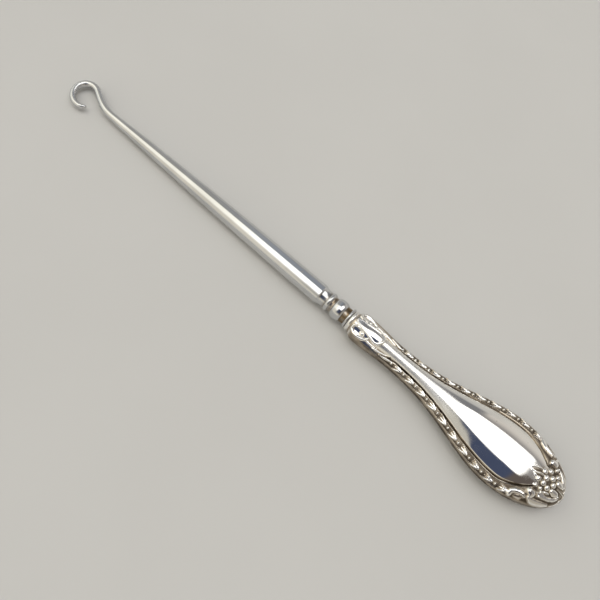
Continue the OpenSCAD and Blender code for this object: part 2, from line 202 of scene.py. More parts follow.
# The grid: stations along the handle, and rows across one side from the seam to the crest.
# The lining takes every sixth of them.
RIM_STEPS, BODY_STEPS, END_STEPS = 12, 342, 186
BORDER_ROWS, PANEL_ROWS = 30, 42
CREST = BORDER_ROWS + PANEL_ROWS
ROWS = 2 * CREST
COARSE = 6
# The station, 2 mm short of the head, that gives the taper its width
TAPER_STATION = BODY_STEPS


def body_size(x, shoulder, neck, head):
    """Half width or half thickness from the mouth to the head."""
    rise = mix(shoulder, MOUTH_D, np.clip((SHOULDER_AT - x) / (SHOULDER_AT - RIM_W), 0, 1) ** RIM_BOW)
    fall = mix(shoulder, neck, ease((x - SHOULDER_AT) / (NECK_AT - SHOULDER_AT)))
    swell = mix(neck, head, ease(np.clip((x - NECK_AT) / (HEAD_AT - NECK_AT), 0, 1) ** SWELL_BOW))
    return np.where(x < SHOULDER_AT, rise, np.where(x < NECK_AT, fall, swell)) / 2


def stations(inset):
    """Place, half width and half thickness of each station, drawn in by inset."""
    rim = RIM_W * ease(np.arange(RIM_STEPS) / RIM_STEPS)
    x = np.concatenate([rim, np.linspace(RIM_W, HEAD_AT, BODY_STEPS + 1)])
    a = QUARTER * np.arange(1, END_STEPS) / END_STEPS
    end_x = mix(HEAD_AT, HANDLE_LEN - inset, np.sin(a) ** END_ROUND)
    end_half = (WIDTHS[2] / 2 - inset) * np.cos(a) ** END_ROUND
    end_thick = (THICKS[2] / 2 - inset) * np.cos(a) ** END_THIN
    half = np.concatenate([body_size(x, *WIDTHS) - inset, end_half])
    thick = np.concatenate([body_size(x, *THICKS) - inset, end_thick])
    return np.concatenate([x, end_x]), half, thick


def panel_edge(x, half, thick):
    """Half width of the panel at each station, and height of the crease along its edge."""
    share = (2 * half - WIDTHS[1]) / (WIDTHS[2] - WIDTHS[1])
    wide = np.maximum(PANEL_LEAST * half, half - mix(NECK_BORDER, HEAD_BORDER, share))
    low = np.minimum(CREASE_H, CREASE_MOST * thick)
    # Toward the end the panel draws in to a point, and its edge climbs the cushion
    run = np.clip((x - TAPER_FROM) / (TAPER_TO - TAPER_FROM), 0, 1)
    drawn = wide[TAPER_STATION] * (1 - run ** TAPER_BOW) ** TAPER_POINT
    panel = np.maximum(PANEL_LEAST * half, np.minimum(wide, drawn))
    panel = np.where(run > 0, panel, wide)
    return panel, low + (thick - low) * np.maximum(0, 1 - (panel / wide) ** 2) ** CUSHION


def plain_side(inset):
    """Places, grids of y and z over one side from seam to crest, and the panel's half width."""
    x0, half0, thick0 = stations(0)
    x, half, thick = stations(inset)
    panel, crease = panel_edge(x0, half0, thick0)
    panel, crease = panel[:, None], (crease - thick0 + thick)[:, None]
    turn = QUARTER * np.arange(BORDER_ROWS + 1) / BORDER_ROWS
    across = np.arange(1, PANEL_ROWS + 1) / PANEL_ROWS
    half, thick = half[:, None], thick[:, None]
    y = np.hstack([panel + (half - panel) * np.cos(turn), panel * (1 - across)])
    cushion = (1 - (1 - across) ** 2) ** CUSHION
    z = np.hstack([crease * np.sin(turn), crease + (thick - crease) * cushion])
    # From the rim to the tongue's end this form grows out of a plain oval
    bend = np.arccos(panel / half0[:, None])
    oval = np.hstack([bend * np.arange(BORDER_ROWS + 1) / BORDER_ROWS, mix(bend, QUARTER, across)])
    grown = ease((x0 - RIM_W) / (TONGUE_END - RIM_W))[:, None]
    return x, mix(half * np.cos(oval), y, grown), mix(thick * np.sin(oval), z, grown), panel[:, 0]


def both_sides(side):
    """A grid over one side, carried on over the other as its mirror image."""
    return np.hstack([side, side[:, -2::-1]])


def plain_grid(inset):
    """Grids of x, y and z from seam to seam over one half, and the panel's half width."""
    x, y_side, z_side, panel = plain_side(inset)
    y = both_sides(-y_side)
    y[:, CREST:] *= -1
    return np.repeat(x[:, None], ROWS + 1, 1), y, both_sides(z_side), panel


def outward(plain):
    """Directions square to the plain form and away from its inside, level at the seam."""
    along = np.gradient(plain, axis=0)
    out = np.cross(np.gradient(plain, axis=1), along)
    out[:, CREST] = np.cross(plain[:, CREST + 1] - plain[:, CREST - 1], along[:, CREST])
    out /= np.linalg.norm(out, axis=-1, keepdims=True) + 1e-12
    if out[len(plain) // 2, CREST, 2] < 0:
        out = -out
    out[:, [0, -1], 2] = 0
    return out


# Tools for the stamped ornament, with the exponents that round its forms
ROUND, FULL_ROUND = 0.6, 0.5


def stroke(x, y, path, height, power=ROUND):
    """A rounded ridge along a path of (x, y, half width)."""
    out = np.zeros_like(x)
    for (x0, y0, r0), (x1, y1, r1) in zip(path, path[1:]):
        reach = max(r0, r1)
        near = ((x > min(x0, x1) - reach) & (x < max(x0, x1) + reach)
                & (y > min(y0, y1) - reach) & (y < max(y0, y1) + reach))
        px, py = x[near] - x0, y[near] - y0
        dx, dy = x1 - x0, y1 - y0
        t = np.clip((px * dx + py * dy) / (dx * dx + dy * dy + 1e-9), 0, 1)
        gap = ((px - t * dx) ** 2 + (py - t * dy) ** 2) / mix(r0, r1, t) ** 2
        out[near] = np.maximum(out[near], height * np.maximum(0, 1 - gap) ** power)
    return out


def dome(x, y, cx, cy, r, height, stretch=1.0, power=ROUND):
    """A rounded boss at (cx, cy), drawn out along x by stretch."""
    gap = ((x - cx) / (r * stretch)) ** 2 + ((y - cy) / r) ** 2
    return height * np.maximum(0, 1 - gap) ** power


def ridge(distance, at, reach):
    """A rounded line at one distance, 1 on it and 0 beyond its reach."""
    return np.maximum(0, 1 - ((distance - at) / reach) ** 2)


def blurred(field, along, across):
    """Mean over a window that reaches this many stations along and rows across the grid each way."""
    for axis, n in ((0, along), (1, across)):
        pad = [(n, n) if k == axis else (0, 0) for k in range(2)]
        total = np.cumsum(np.pad(field, pad, mode="edge"), axis=axis)
        total = np.insert(total, 0, 0, axis=axis)
        size = field.shape[axis]
        high = np.take(total, np.arange(size) + 2 * n + 1, axis=axis)
        low = np.take(total, np.arange(size), axis=axis)
        field = (high - low) / (2 * n + 1)
    return field


# Border of husks and beads
HUSKS_FROM, HUSK_PITCH, HUSK_LEN, HUSKS_TO = 13.8, 4.75, 3.2, 64.5
# How far inside the handle's edge the chain's line runs
CHAIN_IN = 1.28
# Paths of (place in the husk, distance from the chain's line, half width)
HUSK_ARM = ((0.1, 0.82, 0.1), (0.9, 0.66, 0.21), (1.8, 0.46, 0.25), (2.5, 0.28, 0.25), (3.1, 0.05, 0.2))
HUSK_PETAL = ((0.2, 0, 0.1), (1.0, 0, 0.25), (2.0, 0, 0.28), (3.0, 0, 0.22))
ARM_H, PETAL_H, BEAD_R, BEAD_H = 0.34, 0.4, 0.4, 0.4
LAST_HUSK_ROOM = 0.1


def husk_chain(x, y, centre, lean):
    """Husks and beads along the border: three petals that meet toward the handle's end."""
    off = (np.abs(y) - centre) * np.cos(lean)
    along = x + off * np.sin(lean) - HUSKS_FROM
    phase = np.mod(along, HUSK_PITCH)
    # The first place is taken by the neck's long leaves, and the last husk has no bead after it
    live = (along > HUSK_PITCH) & (along < HUSKS_TO - HUSKS_FROM + LAST_HUSK_ROOM)
    beaded = (along > HUSK_LEN) & (along < HUSKS_TO - HUSKS_FROM)
    arm = stroke(phase, np.abs(off), HUSK_ARM, ARM_H)
    petal = stroke(phase, off, HUSK_PETAL, PETAL_H)
    bead = dome(phase, off, HUSK_LEN + (HUSK_PITCH - HUSK_LEN) / 2, 0, BEAD_R, BEAD_H)
    return np.where(live, np.maximum(arm, petal), 0) + np.where(beaded, bead, 0)


# Shoulder and neck, alike on both sides: paths of (x, distance from the middle line, half width)
TONGUE = ((2.0, 0.45, 0.2), (3.2, 0.8, 0.24), (4.6, 0.98, 0.26), (7.5, 1.5, 0.28), (9.9, 1.92, 0.32),
          (11.0, 1.68, 0.36), (11.65, 0.95, 0.38), (11.85, 0.0, 0.38))
EAR = ((3.0, 1.35, 0.24), (2.1, 1.75, 0.34), (2.1, 2.8, 0.42), (3.1, 3.55, 0.45), (4.6, 3.85, 0.45),
       (6.2, 3.5, 0.4), (7.4, 2.9, 0.36), (7.9, 2.2, 0.26))
EAR_TAIL = ((7.6, 2.85, 0.32), (9.6, 2.85, 0.32), (12.0, 2.45, 0.14))
LONG_LEAVES = (((10.4, 3.15, 0.14), (12.5, 2.9, 0.4), (14.8, 2.35, 0.32), (16.2, 1.85, 0.1)),
               ((13.2, 3.3, 0.12), (15.2, 3.05, 0.38), (16.8, 2.75, 0.34), (17.6, 2.6, 0.2)),
               ((16.6, 2.0, 0.1), (18.0, 2.1, 0.22), (19.6, 2.35, 0.26), (21.2, 2.8, 0.28)))
TONGUE_H, EAR_H, TAIL_H, LEAF_H = 0.26, 0.36, 0.28, 0.32
NECK_STROKES = ((TONGUE, TONGUE_H), (EAR, EAR_H), (EAR_TAIL, TAIL_H),
                *((leaf, LEAF_H) for leaf in LONG_LEAVES))
# Domes as x, distance from the middle line, radius and height, with stretch and power where they differ
ROOT_BEAD = (1.75, 0, 0.4, 0.25)
EAR_BEAD = (5.5, 2.5, 0.5, 0.3, 1.3)
EAR_HOLLOW = (4.4, 2.5, 1.1, 0.34, 1.9, 1.0)
# The tongue's raised face: its height, the softness and overlap of its sides, and where it sets in and ends
FACE_H, FACE_SOFT, FACE_OVER = 0.1, 0.5, 0.3
FACE_FROM, FACE_IN, FACE_TO, FACE_OUT = 1.7, 0.6, 12.0, 0.5


def shoulder_ornament(x, y):
    """Height of tongue, ear scrolls and long leaves, and depth of the ears; the marks' places stay bare."""
    side = np.abs(y)
    edge = np.interp(x, [px for px, py, r in TONGUE], [py for px, py, r in TONGUE])
    face = ease((edge - side) / FACE_SOFT + FACE_OVER) * ease((x - FACE_FROM) / FACE_IN)
    face *= ease((FACE_TO - x) / FACE_OUT)
    forms = [FACE_H * face, dome(x, y, *ROOT_BEAD), dome(x, side, *EAR_BEAD)]
    forms += [stroke(x, side, path, height) for path, height in NECK_STROKES]
    return np.maximum.reduce(forms), dome(x, side, *EAR_HOLLOW)


# Ornament of the end. Each berry is given by x, y, radius and height.
BERRIES = ((71.8, 4.5, 0.62, 0.42), (70.5, 3.0, 0.84, 0.5), (73.1, 3.0, 0.76, 0.52),
           (69.0, 1.6, 0.82, 0.42), (71.9, 1.5, 0.86, 0.54), (70.25, 0.35, 0.86, 0.5),
           (72.95, 0.05, 0.82, 0.52), (68.5, -1.35, 0.82, 0.38), (70.25, -1.4, 0.86, 0.5),
           (71.85, -1.75, 0.84, 0.54), (68.9, -3.4, 0.66, 0.34), (70.5, -3.1, 0.6, 0.4))
# Forms that differ from side to side: paths of (x, y, half width)
BOSSES = (((74.1, 1.65, 0.9), (74.8, 1.75, 0.95)),
          ((73.4, -1.55, 0.8), (74.2, -1.5, 1.0), (74.8, -1.35, 0.85)))
BLADES = (((70.2, -4.6, 0.3), (71.4, -4.4, 0.5), (72.9, -3.75, 0.38)),
          ((71.0, -3.75, 0.35), (72.0, -3.2, 0.52), (73.0, -2.7, 0.38)))
STEMS = (((64.9, -0.3, 0.1), (65.9, -0.45, 0.24), (67.2, -0.35, 0.3), (68.2, 0.2, 0.34), (69.4, 0.45, 0.3)),
         ((65.0, 0.0, 0.1), (65.8, 0.75, 0.24), (66.8, 1.25, 0.3), (68.2, 1.5, 0.3)),
         ((66.3, -0.5, 0.1), (67.2, -1.0, 0.24), (68.0, -1.3, 0.26)))
KEEL = ((74.6, 0.1, 0.12), (76.0, 0.05, 0.18), (77.2, 0, 0.18))
BOSS_H, BLADE_H, STEM_H, KEEL_H = 0.56, 0.5, 0.24, 0.2
STEMS_FROM, STEMS_GROW = 63.4, 4.5
# Forms on both sides: paths of (place, distance from the middle line, half width), with their heights
CURL = ((64.8, 9.5, 0.8), (64.75, 8.75, 0.72), (65.5, 8.0, 0.72), (66.6, 7.55, 0.7), (67.7, 7.4, 0.62),
        (68.4, 7.7, 0.4))
CURL_FILL = ((66.2, 9.1, 0.5), (67.6, 8.7, 0.6))
BUD = ((68.6, 5.6, 1.0), (69.3, 5.75, 1.2))
RIBBON = ((69.2, 7.2, 0.4), (70.4, 7.3, 0.8), (71.9, 6.85, 0.85), (73.3, 6.05, 0.75), (74.6, 5.1, 0.4))
END_LEAF = ((70.9, 5.2, 0.3), (72.5, 4.6, 0.55), (73.9, 3.85, 0.62), (75.1, 2.9, 0.62), (75.75, 2.0, 0.5),
            (75.7, 1.35, 0.3))
END_STROKES = ((CURL, 0.52), (CURL_FILL, 0.14), (BUD, 0.6), (RIBBON, 0.44), (END_LEAF, 0.52))
# Rim round the end, by x and not by place, and the length over which all forms run out
END_RIM = ((75.3, 4.9, 0.2), (76.3, 3.75, 0.28), (76.95, 2.6, 0.3), (77.3, 1.3, 0.3), (77.4, 0, 0.3))
END_RIM_H, END_FADE = 0.2, 0.8
# How far the ornament is moved toward the handle's end on the +y side, from what y and x on, and over
# what lengths
END_SHIFT, SHIFT_FROM_Y, SHIFT_FROM_X, SHIFT_OVER = 1.2, 1.0, 63.5, 5.0


def end_place(x, y):
    """Place along the end ornament, allowing for its shift on the +y side."""
    return x - END_SHIFT * ease((y - SHIFT_FROM_Y) / SHIFT_OVER) * ease((x - SHIFT_FROM_X) / SHIFT_OVER)


def end_ornament(x, y):
    """Berries on stems between leaves and scrolls that curl round two bosses at the handle's end."""
    side, place = np.abs(y), end_place(x, y)
    forms = [dome(x, y, *berry, power=FULL_ROUND) for berry in BERRIES]
    forms += [stroke(x, y, boss, BOSS_H, FULL_ROUND) for boss in BOSSES]
    forms += [stroke(place, side, path, height) for path, height in END_STROKES]
    forms += [stroke(x, y, blade, BLADE_H) for blade in BLADES]
    forms += [stroke(x, y, stem, STEM_H) * ease((x - STEMS_FROM) / STEMS_GROW) for stem in STEMS]
    forms += [stroke(x, side, END_RIM, END_RIM_H), stroke(x, y, KEEL, KEEL_H)]
    return np.maximum.reduce(forms) * ease((HANDLE_LEN - x) / END_FADE)


# Fine line beside the crease and raised edge at the seam: height, distance and half width
LINE_H, LINE_AT, LINE_R = 0.13, 0.42, 0.2
EDGE_H, EDGE_AT, EDGE_R = 0.12, 0.3, 0.26
CREASE_DEEP, CREASE_R = 0.3, 0.3
# Where line and crease, and the edge, set in and end, and over what lengths
LINE_FROM, LINE_IN, LINE_TO, LINE_OUT = 14.0, 4, 70.7, 3
EDGE_FROM, EDGE_IN, EDGE_TO, EDGE_OUT = 6, 6, HANDLE_LEN - 2, 3
# Rows over which the relief dies away at the seam
SEAM_ROWS = 3.0


def stamped_relief(x, y, row, panel):
    """Height of the stamped forms over the plain form, its hollows and crease, and what is border."""
    middle = np.abs(y[:, 0]) - CHAIN_IN
    lean = np.arctan(np.gradient(middle, x[:, 0]))
    on_border = (row <= BORDER_ROWS)[None, :] & (x > 0)
    chain = np.where(on_border, husk_chain(x, y, middle[:, None], lean[:, None]), 0)
    neck, hollow = shoulder_ornament(x, y)
    end = end_ornament(x, y)
    gap = np.abs(y) - panel[:, None]
    from_edge = np.abs(y[:, :1]) - np.abs(y)
    shown = ease((x - LINE_FROM) / LINE_IN) * ease((LINE_TO - end_place(x, y)) / LINE_OUT)
    line = LINE_H * shown * ridge(gap, LINE_AT, LINE_R) * on_border
    edge = EDGE_H * ease((x - EDGE_FROM) / EDGE_IN) * ridge(from_edge, EDGE_AT, EDGE_R)
    edge *= ease((EDGE_TO - x) / EDGE_OUT)
    crease = CREASE_DEEP * shown * np.maximum(0, 1 - np.abs(gap) / CREASE_R)
    relief = np.maximum.reduce([chain, neck, end, line, edge]) - hollow - crease
    relief = relief * np.sqrt(np.clip(row / SEAM_ROWS, 0, 1))[None, :]
    relief += (RIM_D - MOUTH_D) / 2 * np.sin(np.pi * np.clip(x / RIM_W, 0, 1))
    return relief, hollow, crease, on_border


# Tarnish in recesses: the window that finds them, the depth of a full one, the strength on plain
# ground, and what worked ground adds
RECESS_WINDOW, RECESS_DEEP, RECESS_PLAIN, RECESS_WORKED = (7, 6), 0.14, 0.4, 0.5
# Worked ground of the border, darkened by tarnish and by a painted dark reflection: where it sets in, over
# what length, and the height that stays bright
WORKED_FROM, WORKED_IN, GROUND_H = 10, 6, 0.16
# Where the plain panel gives way to the end ornament: distances from the middle line, and places
PANEL_END = ([0, 0.6, 1.7, 3.0, 4.5, 5.8, 7.4, 9.5], [65.2, 66.2, 68.4, 69.6, 69.7, 69.1, 67.2, 66.0])
# Worked ground of the end: over what length it sets in, its strength, and what the border loses there
ENDING_IN, END_GROUND, END_LESS = 0.8, 0.62, 0.3
# Painted shade on the flanks by the seam: how far in it reaches at the shoulder and beyond it, and how
# softly that ends
FLANK_SHOULDER, FLANK_REST, FLANK_SOFT = 1.25, 0.7, 0.55
# Where the flanks' painted shade sets in, where it narrows behind the shoulder, and over what lengths
FLANK_FROM, FLANK_IN, NARROW_FROM, NARROW_OVER = 1.8, 1.5, 9, 7
# Strength on the +y side and on the side of the hook's tip, where the ground and the flanks carry a
# painted dark reflection and painted shade, and the width over which they blend
GROUND_SIDES, FLANK_SHADE_SIDES, SIDES_BLEND = (0.8, 1.0), (0.58, 0.8), 4
# Dark line behind the rim of the mouth: strength, place and half width
MOUTH_LINE, MOUTH_LINE_AT, MOUTH_LINE_R = 0.75, 1.5, 0.5
# Depth at which the crease is full of tarnish, and how fast the ears' hollows lose theirs with depth
CREASE_FULL, HOLLOW_BRIGHT = 0.2, 3


def tarnish_and_shade_on(x, y, relief, hollow, crease, on_border):
    """Tarnish in recesses, on the ornament's ground, in the crease and by the mouth, painted shade by the
    seam, and a painted dark reflection on the side of the hook's tip.
    """
    low = np.clip((blurred(relief, *RECESS_WINDOW) - relief) / RECESS_DEEP, 0, 1)
    ending = ease((end_place(x, y) - np.interp(np.abs(y), *PANEL_END)) / ENDING_IN)
    worked = on_border * ease((x - WORKED_FROM) / WORKED_IN) * (1 - END_LESS * ending)
    worked = np.maximum(worked, END_GROUND * ending)
    # The side of the hook's tip is painted darker: a painted dark reflection and shade on ground and flanks
    shade_side = ease(0.5 - y / SIDES_BLEND)
    # The worked ground is darkened partly by tarnish and partly by a painted dark reflection
    ground = mix(*GROUND_SIDES, shade_side) * worked * np.clip(1 - relief / GROUND_H, 0, 1)
    tarnish_and_shade = np.clip(low * (RECESS_PLAIN + RECESS_WORKED * worked) + ground, 0, 1)
    tarnish_and_shade = np.maximum(tarnish_and_shade, np.clip(crease / CREASE_FULL, 0, 1))
    # Painted shade along the flanks by the seam
    from_edge = np.abs(y[:, :1]) - np.abs(y)
    reach = mix(FLANK_SHOULDER, FLANK_REST, ease((x - NARROW_FROM) / NARROW_OVER))
    flank_shade = mix(*FLANK_SHADE_SIDES, shade_side) * ease((reach - from_edge) / FLANK_SOFT)
    flank_shade *= ease((x - FLANK_FROM) / FLANK_IN)
    tarnish_and_shade = np.maximum(tarnish_and_shade, flank_shade)
    mouth_line = np.maximum(0, 1 - np.abs(x - MOUTH_LINE_AT) / MOUTH_LINE_R)
    tarnish_and_shade = np.maximum(tarnish_and_shade, MOUTH_LINE * mouth_line)
    return blurred(tarnish_and_shade * (1 - np.clip(HOLLOW_BRIGHT * hollow, 0, 1)), 1, 1)


def joined(fine, coarse, turned):
    """Faces from an edge of the outside to the coarser edge of the lining."""
    found = []
    middle = COARSE // 2
    for c in range(len(coarse) - 1):
        f = fine[c * COARSE:(c + 1) * COARSE + 1]
        found += [(f[k], f[k + 1], coarse[c]) for k in range(middle)]
        found.append((f[middle], coarse[c + 1], coarse[c]))
        found += [(f[k], f[k + 1], coarse[c + 1]) for k in range(middle, COARSE)]
    return [tuple(reversed(face)) for face in found] if turned else found


def shell_faces(steps, inner_steps):
    """Faces of the outside, the lining, and the flat edges at the seam and the mouth.

    The points are the outside's grid and its tip, then the lining's grid and its tip.
    """
    inner_rows = ROWS // COARSE
    tip = steps * (ROWS + 1)
    inner_tip = tip + 1 + inner_steps * (inner_rows + 1)

    def outer(i, j):
        return tip if i >= steps else i * (ROWS + 1) + j

    def inner(k, m):
        return inner_tip if k >= inner_steps else tip + 1 + k * (inner_rows + 1) + m

    faces = [(outer(i, j), outer(i + 1, j), outer(i + 1, j + 1), outer(i, j + 1))
             for i in range(steps - 1) for j in range(ROWS)]
    faces += [(outer(steps - 1, j), tip, outer(steps - 1, j + 1)) for j in range(ROWS)]
    faces += [(inner(k, m), inner(k, m + 1), inner(k + 1, m + 1), inner(k + 1, m))
              for k in range(inner_steps - 1) for m in range(inner_rows)]
    last = inner_steps - 1
    faces += [(inner(last, m), inner(last, m + 1), inner_tip) for m in range(inner_rows)]
    for j, m, turned in ((0, 0, True), (ROWS, inner_rows, False)):
        seam = [outer(i, j) for i in range(steps + 1)]
        faces += joined(seam, [inner(k, m) for k in range(inner_steps + 1)], turned)
    mouth = [outer(0, j) for j in range(ROWS + 1)]
    return faces + joined(mouth, [inner(0, m) for m in range(inner_rows + 1)], False)


# Where the neck's dulled polish sets in and ends, and over what lengths
WEAR_FROM, WEAR_IN, WEAR_TO, WEAR_OUT = 9, 5, 44, 18


def handle_half(name, flip):
    """One stamped shell of the handle, with its lining; flip turns it into the lower one."""
    x, y, z, panel = plain_grid(0)
    row = np.minimum(np.arange(ROWS + 1), ROWS - np.arange(ROWS + 1))
    relief, hollow, crease, on_border = stamped_relief(x, y, row, panel)
    plain = np.stack([x, y, z], -1)
    points = plain + outward(plain) * relief[..., None]
    inner = np.stack(plain_grid(WALL)[:3], -1)[::COARSE, ::COARSE]
    faces = shell_faces(len(points), len(inner))
    cloud = np.concatenate([points.reshape(-1, 3), [[HANDLE_LEN, 0, 0]],
                            inner.reshape(-1, 3), [[HANDLE_LEN - WALL, 0, 0]]])
    cloud[:, 2] = np.maximum(cloud[:, 2], 0) + FILM / 2
    cloud[:, 0] += MOUTH_X
    if flip:
        cloud[:, 2] *= -1
        faces = [tuple(reversed(face)) for face in faces]
    # Handling has dulled the polish of the neck, inside its border
    wear = ease((x - WEAR_FROM) / WEAR_IN) * ease((WEAR_TO - x) / WEAR_OUT) * (row > BORDER_ROWS)[None, :]
    values = {"tarnish_and_shade": np.zeros(len(cloud)), "worn": np.zeros(len(cloud))}
    values["tarnish_and_shade"][:x.size] = tarnish_and_shade_on(x, y, relief, hollow, crease, on_border).ravel()
    values["worn"][:x.size] = wear.ravel()
    return add_mesh(name, at_rest(cloud), faces, values)


# Materials. Noise scales are waves per metre, and the distances of bumps are in metres.
class Nodes:
    """Short names for building a node tree."""

    def __init__(self, tree):
        self.tree = tree

    def add(self, kind, inputs=None, **settings):
        node = self.tree.nodes.new(kind)
        for key, value in settings.items():
            setattr(node, key, value)
        for key, value in (inputs or {}).items():
            self.put(node.inputs[key], value)
        return node

    def put(self, socket, value):
        if isinstance(value, bpy.types.NodeSocket):
            self.tree.links.new(value, socket)
        else:
            socket.default_value = value

    def math(self, operation, a, b=0.0):
        return self.add("ShaderNodeMath", {0: a, 1: b}, operation=operation).outputs[0]

    def edge(self, distance, steepness):
        """From 0 to 1 across an edge, one half on it."""
        inputs = {0: distance, 1: steepness, 2: 0.5}
        return self.add("ShaderNodeMath", inputs, operation="MULTIPLY_ADD", use_clamp=True).outputs[0]

    def fade(self, value, low, high, to_low=0.0, to_high=1.0):
        """Soft step of a value, from to_low at low to to_high at high."""
        inputs = {"Value": value, "From Min": low, "From Max": high, "To Min": to_low, "To Max": to_high}
        return self.add("ShaderNodeMapRange", inputs, interpolation_type="SMOOTHSTEP").outputs[0]

    def blend(self, share, a, b):
        """Colour from a at 0 to b at 1; a colour mix has its colours at sockets 6 and 7, its result at 2."""
        node = self.add("ShaderNodeMix", data_type="RGBA")
        self.put(node.inputs[0], share)
        self.put(node.inputs[6], a)
        self.put(node.inputs[7], b)
        return node.outputs[2]

    def noise(self, vector, scale, detail=3.0):
        inputs = {"Vector": vector, "Scale": scale, "Detail": detail}
        return self.add("ShaderNodeTexNoise", inputs).outputs[0]

    def stretched(self, vector, factors):
        return self.add("ShaderNodeVectorMath", {0: vector, 1: factors}, operation="MULTIPLY").outputs[0]

    def attribute(self, name):
        return self.add("ShaderNodeAttribute", attribute_name=name).outputs["Fac"]

    def bumps(self, *layers):
        """Normals of bump layers of (height, strength, distance), each over the one before."""
        normal = None
        for height, strength, distance in layers:
            inputs = {"Strength": strength, "Distance": distance, "Height": height}
            bump = self.add("ShaderNodeBump", inputs)
            if normal:
                self.put(bump.inputs["Normal"], normal)
            normal = bump.outputs[0]
        return normal


def new_material(name, metallic=0.0):
    """A material with its node builder, its shader's inputs and the object's coordinates."""
    material = bpy.data.materials.new(name)
    material.use_nodes = True
    nodes = Nodes(material.node_tree)
    shader = material.node_tree.nodes["Principled BSDF"].inputs
    shader["Metallic"].default_value = metallic
    place = nodes.add("ShaderNodeTexCoord").outputs["Object"]
    return material, nodes, shader, place


def silver_material():
    """Bright silver with faint rubbing, spots and dents. Tarnish, painted shade and a painted dark
    reflection darken it warm, then dark.
    """
    material, n, shader, place = new_material("stamped_silver", 1.0)
    # The handle's painted shade and dark reflection come in with its tarnish and darken the silver here
    patchy = n.math("MULTIPLY", n.attribute("tarnish_and_shade"), n.fade(n.noise(place, 260.0), 0.25, 0.6, 0.7, 1.0))
    bright = n.blend(n.fade(n.noise(place, 90.0), 0.35, 0.7), (0.90, 0.89, 0.86, 1), (0.86, 0.84, 0.80, 1))
    warm = n.blend(n.fade(patchy, 0.0, 0.45), bright, (0.50, 0.44, 0.36, 1))
    speck = n.fade(n.noise(place, 1500.0, 1.0), 0.76, 0.8)
    spotted = n.blend(n.math("MULTIPLY", speck, 0.5), warm, (0.30, 0.26, 0.22, 1))
    n.put(shader["Base Color"], n.blend(n.fade(patchy, 0.4, 1.0), spotted, (0.10, 0.08, 0.06, 1)))
    haze = n.fade(n.noise(place, 420.0), 0.3, 0.75, 0.05, 0.1)
    dull = n.math("ADD", n.math("MULTIPLY", patchy, 0.36), n.math("MULTIPLY", n.attribute("worn"), 0.2))
    n.put(shader["Roughness"], n.math("ADD", haze, dull))
    rubbed = n.noise(n.stretched(place, (260.0, 5200.0, 5200.0)), 1.0, 2.0)
    dents = n.noise(place, 130.0, 1.0)
    n.put(shader["Normal"], n.bumps((rubbed, 0.05, 0.00003), (dents, 0.16, 0.0002)))
    return material


def steel_material():
    """Polished steel with fine pits, turning and polishing lines, and brown dirt in its hollows."""
    material, n, shader, place = new_material("polished_steel", 1.0)
    tone = n.blend(n.fade(n.noise(place, 70.0), 0.3, 0.7), (0.66, 0.665, 0.67, 1), (0.58, 0.585, 0.59, 1))
    pits = n.fade(n.noise(place, 1300.0, 2.0), 0.71, 0.78)
    dirt = n.math("MULTIPLY", n.attribute("tarnish_and_shade"), n.fade(n.noise(place, 500.0), 0.25, 0.6, 0.6, 1.0))
    tone = n.blend(n.fade(dirt, 0.0, 0.9), tone, (0.18, 0.122, 0.058, 1))
    n.put(shader["Base Color"], n.blend(n.math("MULTIPLY", pits, 0.65), tone, (0.13, 0.10, 0.08, 1)))
    haze = n.fade(n.noise(place, 300.0), 0.3, 0.75, 0.1, 0.2)
    rough = n.math("ADD", n.math("MULTIPLY", pits, 0.3), n.math("MULTIPLY", dirt, 0.12))
    rough = n.math("ADD", rough, n.math("MULTIPLY", n.attribute("worn"), 0.1))
    n.put(shader["Roughness"], n.math("ADD", haze, rough))
    rings = n.noise(n.stretched(place, (9000.0, 500.0, 500.0)), 1.0, 2.0)
    lines = n.noise(n.stretched(place, (180.0, 7000.0, 7000.0)), 1.0, 2.0)
    n.put(shader["Normal"], n.bumps((rings, 0.06, 0.00003), (lines, 0.06, 0.00003)))
    return material


def pitch_material():
    """Dull brown pitch with a grain."""
    material, n, shader, place = new_material("pitch_filling")
    grain = n.noise(place, 600.0, 4.0)
    light, dark = (0.12, 0.08, 0.05, 1), (0.05, 0.03, 0.02, 1)
    n.put(shader["Base Color"], n.blend(n.fade(grain, 0.3, 0.7), light, dark))
    n.put(shader["Roughness"], n.fade(grain, 0.3, 0.7, 0.55, 0.8))
    n.put(shader["Normal"], n.bumps((grain, 0.3, 0.0002)))
    return material


def floor_material():
    """Plain pale floor with a faint unevenness."""
    material, n, shader, place = new_material("pale_floor")
    shader["Roughness"].default_value = 0.85
    shader["Specular IOR Level"].default_value = 0.2
    soft = n.fade(n.noise(place, 14.0), 0.3, 0.7)
    n.put(shader["Base Color"], n.blend(soft, (0.64, 0.635, 0.625, 1), (0.625, 0.62, 0.61, 1)))
    return material


# Pieces that replace the frame's nodes; the filling keeps its node and takes a material
steel = steel_tool("steel_hook")
front = handle_half("silver_front", False)
back = handle_half("silver_back", True)
silver = silver_material()
for piece, node, slot, material in ((steel, "hook_shank", "steel", steel_material()),
                                    (front, "handle_front_half", "silver", silver),
                                    (back, "handle_back_half", "silver", silver)):
    piece.data.materials.append(material)
    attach(piece, "root")
    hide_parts(node)
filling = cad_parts["handle_filling"]
filling.data.materials.clear()
filling.data.materials.append(pitch_material())

# Floor in metres, a hair below the table's level
FLOOR_R, FLOOR_SIDES, FLOOR_Z = 4.0, 96, -0.0001
around = 2 * np.pi * np.arange(FLOOR_SIDES) / FLOOR_SIDES
disc = np.stack([FLOOR_R * np.cos(around), FLOOR_R * np.sin(around), np.full(FLOOR_SIDES, FLOOR_Z)], -1)
floor = add_mesh("floor", disc, [tuple(range(FLOOR_SIDES))])
floor.data.materials.append(floor_material())

